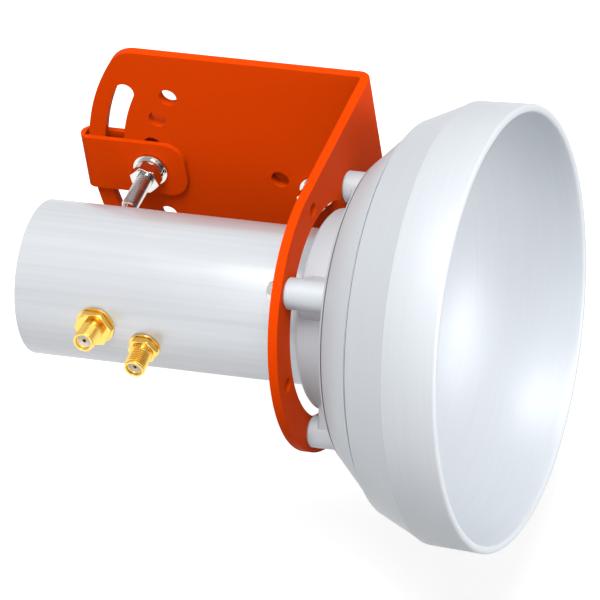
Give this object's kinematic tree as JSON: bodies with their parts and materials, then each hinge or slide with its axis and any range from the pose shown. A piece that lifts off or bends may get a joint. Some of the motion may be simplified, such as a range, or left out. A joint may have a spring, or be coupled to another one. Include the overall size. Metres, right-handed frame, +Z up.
{
  "type": "horn antenna",
  "caption": "Round waveguide horn antenna with side coaxial connectors, held by a ring and side plate on a tilting folded bracket that a U-bolt clamps to a pole.",
  "frame": {"origin": "on the horn's axis, in the front face of the bracket's ring, at the centre of its circle of holes", "axes": "+X along the horn's axis towards the mouth, +Z up, +Y towards the side plate and the pole"},
  "size_m": [0.1513, 0.1595, 0.1286],
  "materials": {
    "aluminium": "satin",
    "painted_steel": "powder coat",
    "stainless_steel": "polished",
    "gold_plated_brass": "gold plated",
    "ptfe": "matt"
  },
  "bodies": {
    "pole_side": {"pole_bracket": "painted_steel", "u_bolt": "stainless_steel", "pivot_washer": "stainless_steel", "pivot_spring_washer": "stainless_steel", "pivot_nut": "stainless_steel", "lock_washer": "stainless_steel", "lock_spring_washer": "stainless_steel", "lock_nut": "stainless_steel"},
    "antenna": {"horn": "aluminium", "waveguide_tube": "aluminium", "tube_cap": "aluminium", "mount_bracket": "painted_steel", "bracket_screws": "stainless_steel", "screw_washers": "stainless_steel", "rear_jack_body": "gold_plated_brass", "rear_jack_insulator": "ptfe", "rear_jack_contact": "gold_plated_brass", "rear_jack_washer": "gold_plated_brass", "rear_jack_nut": "gold_plated_brass", "front_jack_body": "gold_plated_brass", "front_jack_insulator": "ptfe", "front_jack_contact": "gold_plated_brass", "front_jack_washer": "gold_plated_brass", "front_jack_nut": "gold_plated_brass"}
  },
  "joints": [
    {"name": "tilt", "type": "hinge", "parent": "pole_side", "child": "antenna", "pos_m": [-0.0222, 0.054, 0], "axis": [0, 1, 0], "range_deg": [-8, 8]}
  ]
}
